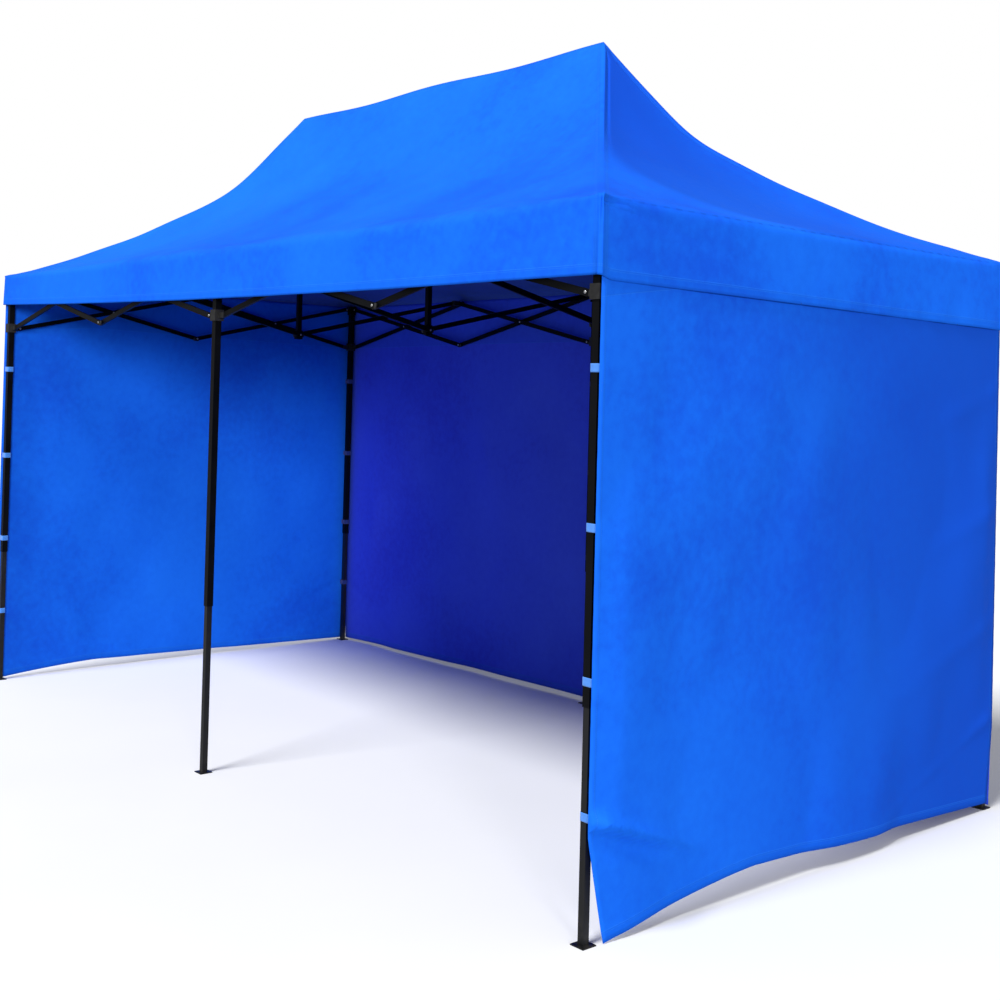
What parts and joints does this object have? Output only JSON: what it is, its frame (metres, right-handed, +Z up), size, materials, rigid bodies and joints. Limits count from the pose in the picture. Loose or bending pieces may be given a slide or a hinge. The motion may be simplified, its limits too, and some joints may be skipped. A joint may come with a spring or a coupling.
{
  "type": "pop up gazebo",
  "caption": "Folding pop-up gazebo: black telescoping legs and scissor trusses under a blue hipped canopy with a valance, with walls on three sides and one long side open.",
  "frame": {"origin": "on the ground under the middle of the plan, at the bottom centre of the bounding box", "axes": "+X along the long sides, towards the right wall; +Y from the open front to the back wall; +Z up"},
  "size_m": [4.87, 2.47, 3.29],
  "materials": {
    "frame_paint": "satin",
    "foot_paint": "satin",
    "casting": "matte",
    "canopy_fabric": "matte",
    "wall_fabric": "matte"
  },
  "bodies": {
    "back_bar_1_falling": {"back_bar_1_falling": "frame_paint"},
    "back_bar_1_rising": {"back_bar_1_rising": "frame_paint"},
    "back_bar_2_falling": {"back_bar_2_falling": "frame_paint"},
    "back_bar_2_rising": {"back_bar_2_rising": "frame_paint"},
    "back_bar_3_falling": {"back_bar_3_falling": "frame_paint"},
    "back_bar_3_rising": {"back_bar_3_rising": "frame_paint"},
    "back_bar_4_falling": {"back_bar_4_falling": "frame_paint"},
    "back_bar_4_rising": {"back_bar_4_rising": "frame_paint"},
    "bracket_back_left": {"bracket_back_left": "casting"},
    "bracket_back_right": {"bracket_back_right": "casting"},
    "bracket_front_left": {"bracket_front_left": "casting"},
    "bracket_front_right": {"bracket_front_right": "casting"},
    "cross_bar_left_back": {"cross_bar_left_back": "frame_paint"},
    "cross_bar_left_front": {"cross_bar_left_front": "frame_paint"},
    "cross_bar_middle_back": {"cross_bar_middle_back": "frame_paint"},
    "cross_bar_middle_front": {"cross_bar_middle_front": "frame_paint"},
    "cross_bar_right_back": {"cross_bar_right_back": "frame_paint"},
    "cross_bar_right_front": {"cross_bar_right_front": "frame_paint"},
    "front_bar_1_falling": {"front_bar_1_falling": "frame_paint"},
    "front_bar_1_rising": {"front_bar_1_rising": "frame_paint"},
    "front_bar_2_falling": {"front_bar_2_falling": "frame_paint"},
    "front_bar_2_rising": {"front_bar_2_rising": "frame_paint"},
    "front_bar_3_falling": {"front_bar_3_falling": "frame_paint"},
    "front_bar_3_rising": {"front_bar_3_rising": "frame_paint"},
    "front_bar_4_falling": {"front_bar_4_falling": "frame_paint"},
    "front_bar_4_rising": {"front_bar_4_rising": "frame_paint"},
    "left_bar_1_falling": {"left_bar_1_falling": "frame_paint"},
    "left_bar_1_rising": {"left_bar_1_rising": "frame_paint"},
    "left_bar_2_falling": {"left_bar_2_falling": "frame_paint"},
    "left_bar_2_rising": {"left_bar_2_rising": "frame_paint"},
    "lower_leg_back_left": {"lower_leg_back_left": "foot_paint"},
    "lower_leg_back_middle": {"lower_leg_back_middle": "foot_paint"},
    "lower_leg_back_right": {"lower_leg_back_right": "foot_paint"},
    "lower_leg_front_left": {"lower_leg_front_left": "foot_paint"},
    "lower_leg_front_middle": {"lower_leg_front_middle": "foot_paint"},
    "lower_leg_front_right": {"lower_leg_front_right": "foot_paint"},
    "mast_left": {"mast_left": "frame_paint"},
    "mast_middle": {"mast_middle": "frame_paint", "canopy": "canopy_fabric"},
    "mast_right": {"mast_right": "frame_paint"},
    "right_bar_1_falling": {"right_bar_1_falling": "frame_paint"},
    "right_bar_1_rising": {"right_bar_1_rising": "frame_paint"},
    "right_bar_2_falling": {"right_bar_2_falling": "frame_paint"},
    "right_bar_2_rising": {"right_bar_2_rising": "frame_paint"},
    "slider_back_left": {"slider_back_left": "casting"},
    "slider_back_middle": {"slider_back_middle": "casting"},
    "slider_back_right": {"slider_back_right": "casting"},
    "slider_front_left": {"slider_front_left": "casting"},
    "slider_front_middle": {"slider_front_middle": "casting"},
    "slider_front_right": {"slider_front_right": "casting"},
    "upper_leg_back_left": {"upper_leg_back_left": "frame_paint"},
    "upper_leg_back_middle": {"upper_leg_back_middle": "frame_paint", "wall_back": "wall_fabric"},
    "upper_leg_back_right": {"upper_leg_back_right": "frame_paint"},
    "upper_leg_front_left": {"upper_leg_front_left": "frame_paint", "wall_left": "wall_fabric"},
    "upper_leg_front_middle": {"upper_leg_front_middle": "frame_paint"},
    "upper_leg_front_right": {"upper_leg_front_right": "frame_paint", "wall_right": "wall_fabric"}
  },
  "joints": [
    {"name": "fold_back_bar_1_falling", "type": "hinge", "parent": "back_bar_1_rising", "child": "back_bar_1_falling", "pos_m": [-1.775, 1.2, 2.17], "axis": [0, 1, 0], "range_deg": [0, 140]},
    {"name": "fold_back_bar_1_rising", "type": "hinge", "parent": "back_bar_2_falling", "child": "back_bar_1_rising", "pos_m": [-1.2, 1.2, 2.3], "axis": [0, 1, 0], "range_deg": [-140, 0]},
    {"name": "fold_back_bar_2_falling", "type": "hinge", "parent": "back_bar_2_rising", "child": "back_bar_2_falling", "pos_m": [-0.625, 1.2, 2.17], "axis": [0, 1, 0], "range_deg": [0, 140]},
    {"name": "fold_back_bar_2_rising", "type": "hinge", "parent": "upper_leg_back_middle", "child": "back_bar_2_rising", "pos_m": [-0.05, 1.2, 2.3], "axis": [0, 1, 0], "range_deg": [-70, 0]},
    {"name": "fold_back_bar_3_falling", "type": "hinge", "parent": "upper_leg_back_middle", "child": "back_bar_3_falling", "pos_m": [0.05, 1.2, 2.3], "axis": [0, 1, 0], "range_deg": [0, 70]},
    {"name": "fold_back_bar_3_rising", "type": "hinge", "parent": "back_bar_3_falling", "child": "back_bar_3_rising", "pos_m": [0.625, 1.2, 2.17], "axis": [0, 1, 0], "range_deg": [-140, 0]},
    {"name": "fold_back_bar_4_falling", "type": "hinge", "parent": "back_bar_3_rising", "child": "back_bar_4_falling", "pos_m": [1.2, 1.2, 2.3], "axis": [0, 1, 0], "range_deg": [0, 140]},
    {"name": "fold_back_bar_4_rising", "type": "hinge", "parent": "back_bar_4_falling", "child": "back_bar_4_rising", "pos_m": [1.775, 1.2, 2.17], "axis": [0, 1, 0], "range_deg": [-140, 0]},
    {"name": "fold_bracket_back_left", "type": "hinge", "parent": "back_bar_2_falling", "child": "bracket_back_left", "pos_m": [-1.2, 1.2, 2.3], "axis": [0, 1, 0], "range_deg": [-70, 0]},
    {"name": "fold_bracket_back_right", "type": "hinge", "parent": "back_bar_3_rising", "child": "bracket_back_right", "pos_m": [1.2, 1.2, 2.3], "axis": [0, 1, 0], "range_deg": [0, 70]},
    {"name": "fold_bracket_front_left", "type": "hinge", "parent": "front_bar_2_falling", "child": "bracket_front_left", "pos_m": [-1.2, -1.2, 2.3], "axis": [0, 1, 0], "range_deg": [-70, 0]},
    {"name": "fold_bracket_front_right", "type": "hinge", "parent": "front_bar_3_rising", "child": "bracket_front_right", "pos_m": [1.2, -1.2, 2.3], "axis": [0, 1, 0], "range_deg": [0, 70]},
    {"name": "fold_cross_bar_left_back", "type": "hinge", "parent": "mast_left", "child": "cross_bar_left_back", "pos_m": [-1.2, 0, 2.04], "axis": [-1, 0, 0], "range_deg": [-70, 0]},
    {"name": "fold_cross_bar_left_front", "type": "hinge", "parent": "bracket_front_left", "child": "cross_bar_left_front", "pos_m": [-1.2, -1.15, 2.3], "axis": [-1, 0, 0], "range_deg": [0, 70]},
    {"name": "fold_cross_bar_middle_back", "type": "hinge", "parent": "mast_middle", "child": "cross_bar_middle_back", "pos_m": [0, 0, 2.04], "axis": [-1, 0, 0], "range_deg": [-70, 0]},
    {"name": "fold", "type": "hinge", "parent": "upper_leg_front_middle", "child": "cross_bar_middle_front", "pos_m": [0, -1.15, 2.3], "axis": [-1, 0, 0], "range_deg": [0, 70], "deforming": ["canopy", "wall_left", "wall_back", "wall_right"]},
    {"name": "fold_cross_bar_right_back", "type": "hinge", "parent": "mast_right", "child": "cross_bar_right_back", "pos_m": [1.2, 0, 2.04], "axis": [-1, 0, 0], "range_deg": [-70, 0]},
    {"name": "fold_cross_bar_right_front", "type": "hinge", "parent": "bracket_front_right", "child": "cross_bar_right_front", "pos_m": [1.2, -1.15, 2.3], "axis": [-1, 0, 0], "range_deg": [0, 70]},
    {"name": "fold_front_bar_1_falling", "type": "hinge", "parent": "front_bar_1_rising", "child": "front_bar_1_falling", "pos_m": [-1.775, -1.2, 2.17], "axis": [0, 1, 0], "range_deg": [0, 140]},
    {"name": "fold_front_bar_1_rising", "type": "hinge", "parent": "front_bar_2_falling", "child": "front_bar_1_rising", "pos_m": [-1.2, -1.2, 2.3], "axis": [0, 1, 0], "range_deg": [-140, 0]},
    {"name": "fold_front_bar_2_falling", "type": "hinge", "parent": "front_bar_2_rising", "child": "front_bar_2_falling", "pos_m": [-0.625, -1.2, 2.17], "axis": [0, 1, 0], "range_deg": [0, 140]},
    {"name": "fold_front_bar_2_rising", "type": "hinge", "parent": "upper_leg_front_middle", "child": "front_bar_2_rising", "pos_m": [-0.05, -1.2, 2.3], "axis": [0, 1, 0], "range_deg": [-70, 0]},
    {"name": "fold_front_bar_3_falling", "type": "hinge", "parent": "upper_leg_front_middle", "child": "front_bar_3_falling", "pos_m": [0.05, -1.2, 2.3], "axis": [0, 1, 0], "range_deg": [0, 70]},
    {"name": "fold_front_bar_3_rising", "type": "hinge", "parent": "front_bar_3_falling", "child": "front_bar_3_rising", "pos_m": [0.625, -1.2, 2.17], "axis": [0, 1, 0], "range_deg": [-140, 0]},
    {"name": "fold_front_bar_4_falling", "type": "hinge", "parent": "front_bar_3_rising", "child": "front_bar_4_falling", "pos_m": [1.2, -1.2, 2.3], "axis": [0, 1, 0], "range_deg": [0, 140]},
    {"name": "fold_front_bar_4_rising", "type": "hinge", "parent": "front_bar_4_falling", "child": "front_bar_4_rising", "pos_m": [1.775, -1.2, 2.17], "axis": [0, 1, 0], "range_deg": [-140, 0]},
    {"name": "fold_left_bar_1_falling", "type": "hinge", "parent": "upper_leg_front_left", "child": "left_bar_1_falling", "pos_m": [-2.4, -1.15, 2.3], "axis": [-1, 0, 0], "range_deg": [0, 70]},
    {"name": "fold_left_bar_1_rising", "type": "hinge", "parent": "left_bar_1_falling", "child": "left_bar_1_rising", "pos_m": [-2.4, -0.575, 2.17], "axis": [-1, 0, 0], "range_deg": [-140, 0]},
    {"name": "fold_left_bar_2_falling", "type": "hinge", "parent": "left_bar_1_rising", "child": "left_bar_2_falling", "pos_m": [-2.4, 0, 2.3], "axis": [-1, 0, 0], "range_deg": [0, 140]},
    {"name": "fold_left_bar_2_rising", "type": "hinge", "parent": "left_bar_2_falling", "child": "left_bar_2_rising", "pos_m": [-2.4, 0.575, 2.17], "axis": [-1, 0, 0], "range_deg": [-140, 0]},
    {"name": "back_left_telescope", "type": "slide", "parent": "upper_leg_back_left", "child": "lower_leg_back_left", "axis": [0, 0, 1], "range_m": [0, 0.6]},
    {"name": "back_middle_telescope", "type": "slide", "parent": "upper_leg_back_middle", "child": "lower_leg_back_middle", "axis": [0, 0, 1], "range_m": [0, 0.6]},
    {"name": "back_right_telescope", "type": "slide", "parent": "upper_leg_back_right", "child": "lower_leg_back_right", "axis": [0, 0, 1], "range_m": [0, 0.6]},
    {"name": "front_left_telescope", "type": "slide", "parent": "upper_leg_front_left", "child": "lower_leg_front_left", "axis": [0, 0, 1], "range_m": [0, 0.6]},
    {"name": "front_middle_telescope", "type": "slide", "parent": "upper_leg_front_middle", "child": "lower_leg_front_middle", "axis": [0, 0, 1], "range_m": [0, 0.6]},
    {"name": "front_right_telescope", "type": "slide", "parent": "upper_leg_front_right", "child": "lower_leg_front_right", "axis": [0, 0, 1], "range_m": [0, 0.6]},
    {"name": "fold_mast_left", "type": "hinge", "parent": "cross_bar_left_front", "child": "mast_left", "pos_m": [-1.2, 0, 2.04], "axis": [-1, 0, 0], "range_deg": [-70, 0]},
    {"name": "fold_mast_middle", "type": "hinge", "parent": "cross_bar_middle_front", "child": "mast_middle", "pos_m": [0, 0, 2.04], "axis": [-1, 0, 0], "range_deg": [-70, 0]},
    {"name": "fold_mast_right", "type": "hinge", "parent": "cross_bar_right_front", "child": "mast_right", "pos_m": [1.2, 0, 2.04], "axis": [-1, 0, 0], "range_deg": [-70, 0]},
    {"name": "fold_right_bar_1_falling", "type": "hinge", "parent": "upper_leg_front_right", "child": "right_bar_1_falling", "pos_m": [2.4, -1.15, 2.3], "axis": [-1, 0, 0], "range_deg": [0, 70]},
    {"name": "fold_right_bar_1_rising", "type": "hinge", "parent": "right_bar_1_falling", "child": "right_bar_1_rising", "pos_m": [2.4, -0.575, 2.17], "axis": [-1, 0, 0], "range_deg": [-140, 0]},
    {"name": "fold_right_bar_2_falling", "type": "hinge", "parent": "right_bar_1_rising", "child": "right_bar_2_falling", "pos_m": [2.4, 0, 2.3], "axis": [-1, 0, 0], "range_deg": [0, 140]},
    {"name": "fold_right_bar_2_rising", "type": "hinge", "parent": "right_bar_2_falling", "child": "right_bar_2_rising", "pos_m": [2.4, 0.575, 2.17], "axis": [-1, 0, 0], "range_deg": [-140, 0]},
    {"name": "fold_slider_back_left", "type": "hinge", "parent": "back_bar_1_rising", "child": "slider_back_left", "pos_m": [-2.35, 1.2, 2.04], "axis": [0, 1, 0], "range_deg": [0, 70]},
    {"name": "fold_slider_back_middle", "type": "hinge", "parent": "back_bar_3_rising", "child": "slider_back_middle", "pos_m": [0.05, 1.2, 2.04], "axis": [0, 1, 0], "range_deg": [0, 70]},
    {"name": "fold_slider_back_right", "type": "hinge", "parent": "back_bar_4_falling", "child": "slider_back_right", "pos_m": [2.35, 1.2, 2.04], "axis": [0, 1, 0], "range_deg": [-70, 0]},
    {"name": "fold_slider_front_left", "type": "hinge", "parent": "front_bar_1_rising", "child": "slider_front_left", "pos_m": [-2.35, -1.2, 2.04], "axis": [0, 1, 0], "range_deg": [0, 70]},
    {"name": "fold_slider_front_middle", "type": "hinge", "parent": "front_bar_3_rising", "child": "slider_front_middle", "pos_m": [0.05, -1.2, 2.04], "axis": [0, 1, 0], "range_deg": [0, 70]},
    {"name": "fold_slider_front_right", "type": "hinge", "parent": "front_bar_4_falling", "child": "slider_front_right", "pos_m": [2.35, -1.2, 2.04], "axis": [0, 1, 0], "range_deg": [-70, 0]},
    {"name": "fold_upper_leg_back_left", "type": "hinge", "parent": "back_bar_1_falling", "child": "upper_leg_back_left", "pos_m": [-2.35, 1.2, 2.3], "axis": [0, 1, 0], "range_deg": [-70, 0]},
    {"name": "fold_upper_leg_back_middle", "type": "hinge", "parent": "cross_bar_middle_back", "child": "upper_leg_back_middle", "pos_m": [0, 1.15, 2.3], "axis": [-1, 0, 0], "range_deg": [0, 70]},
    {"name": "fold_upper_leg_back_right", "type": "hinge", "parent": "back_bar_4_rising", "child": "upper_leg_back_right", "pos_m": [2.35, 1.2, 2.3], "axis": [0, 1, 0], "range_deg": [0, 70]},
    {"name": "fold_upper_leg_front_left", "type": "hinge", "parent": "front_bar_1_falling", "child": "upper_leg_front_left", "pos_m": [-2.35, -1.2, 2.3], "axis": [0, 1, 0], "range_deg": [-70, 0]},
    {"name": "fold_upper_leg_front_right", "type": "hinge", "parent": "front_bar_4_rising", "child": "upper_leg_front_right", "pos_m": [2.35, -1.2, 2.3], "axis": [0, 1, 0], "range_deg": [0, 70]}
  ],
  "couplings": [
    {"joint": "fold_back_bar_1_falling", "follows": "fold", "ratio": 2},
    {"joint": "fold_back_bar_1_rising", "follows": "fold", "ratio": -2},
    {"joint": "fold_back_bar_2_falling", "follows": "fold", "ratio": 2},
    {"joint": "fold_back_bar_2_rising", "follows": "fold", "ratio": -1},
    {"joint": "fold_back_bar_3_falling", "follows": "fold", "ratio": 1},
    {"joint": "fold_back_bar_3_rising", "follows": "fold", "ratio": -2},
    {"joint": "fold_back_bar_4_falling", "follows": "fold", "ratio": 2},
    {"joint": "fold_back_bar_4_rising", "follows": "fold", "ratio": -2},
    {"joint": "fold_bracket_back_left", "follows": "fold", "ratio": -1},
    {"joint": "fold_bracket_back_right", "follows": "fold", "ratio": 1},
    {"joint": "fold_bracket_front_left", "follows": "fold", "ratio": -1},
    {"joint": "fold_bracket_front_right", "follows": "fold", "ratio": 1},
    {"joint": "fold_cross_bar_left_back", "follows": "fold", "ratio": -1},
    {"joint": "fold_cross_bar_left_front", "follows": "fold", "ratio": 1},
    {"joint": "fold_cross_bar_middle_back", "follows": "fold", "ratio": -1},
    {"joint": "fold_cross_bar_right_back", "follows": "fold", "ratio": -1},
    {"joint": "fold_cross_bar_right_front", "follows": "fold", "ratio": 1},
    {"joint": "fold_front_bar_1_falling", "follows": "fold", "ratio": 2},
    {"joint": "fold_front_bar_1_rising", "follows": "fold", "ratio": -2},
    {"joint": "fold_front_bar_2_falling", "follows": "fold", "ratio": 2},
    {"joint": "fold_front_bar_2_rising", "follows": "fold", "ratio": -1},
    {"joint": "fold_front_bar_3_falling", "follows": "fold", "ratio": 1},
    {"joint": "fold_front_bar_3_rising", "follows": "fold", "ratio": -2},
    {"joint": "fold_front_bar_4_falling", "follows": "fold", "ratio": 2},
    {"joint": "fold_front_bar_4_rising", "follows": "fold", "ratio": -2},
    {"joint": "fold_left_bar_1_falling", "follows": "fold", "ratio": 1},
    {"joint": "fold_left_bar_1_rising", "follows": "fold", "ratio": -2},
    {"joint": "fold_left_bar_2_falling", "follows": "fold", "ratio": 2},
    {"joint": "fold_left_bar_2_rising", "follows": "fold", "ratio": -2},
    {"joint": "fold_mast_left", "follows": "fold", "ratio": -1},
    {"joint": "fold_mast_middle", "follows": "fold", "ratio": -1},
    {"joint": "fold_mast_right", "follows": "fold", "ratio": -1},
    {"joint": "fold_right_bar_1_falling", "follows": "fold", "ratio": 1},
    {"joint": "fold_right_bar_1_rising", "follows": "fold", "ratio": -2},
    {"joint": "fold_right_bar_2_falling", "follows": "fold", "ratio": 2},
    {"joint": "fold_right_bar_2_rising", "follows": "fold", "ratio": -2},
    {"joint": "fold_slider_back_left", "follows": "fold", "ratio": 1},
    {"joint": "fold_slider_back_middle", "follows": "fold", "ratio": 1},
    {"joint": "fold_slider_back_right", "follows": "fold", "ratio": -1},
    {"joint": "fold_slider_front_left", "follows": "fold", "ratio": 1},
    {"joint": "fold_slider_front_middle", "follows": "fold", "ratio": 1},
    {"joint": "fold_slider_front_right", "follows": "fold", "ratio": -1},
    {"joint": "fold_upper_leg_back_left", "follows": "fold", "ratio": -1},
    {"joint": "fold_upper_leg_back_middle", "follows": "fold", "ratio": 1},
    {"joint": "fold_upper_leg_back_right", "follows": "fold", "ratio": 1},
    {"joint": "fold_upper_leg_front_left", "follows": "fold", "ratio": -1},
    {"joint": "fold_upper_leg_front_right", "follows": "fold", "ratio": 1}
  ]
}
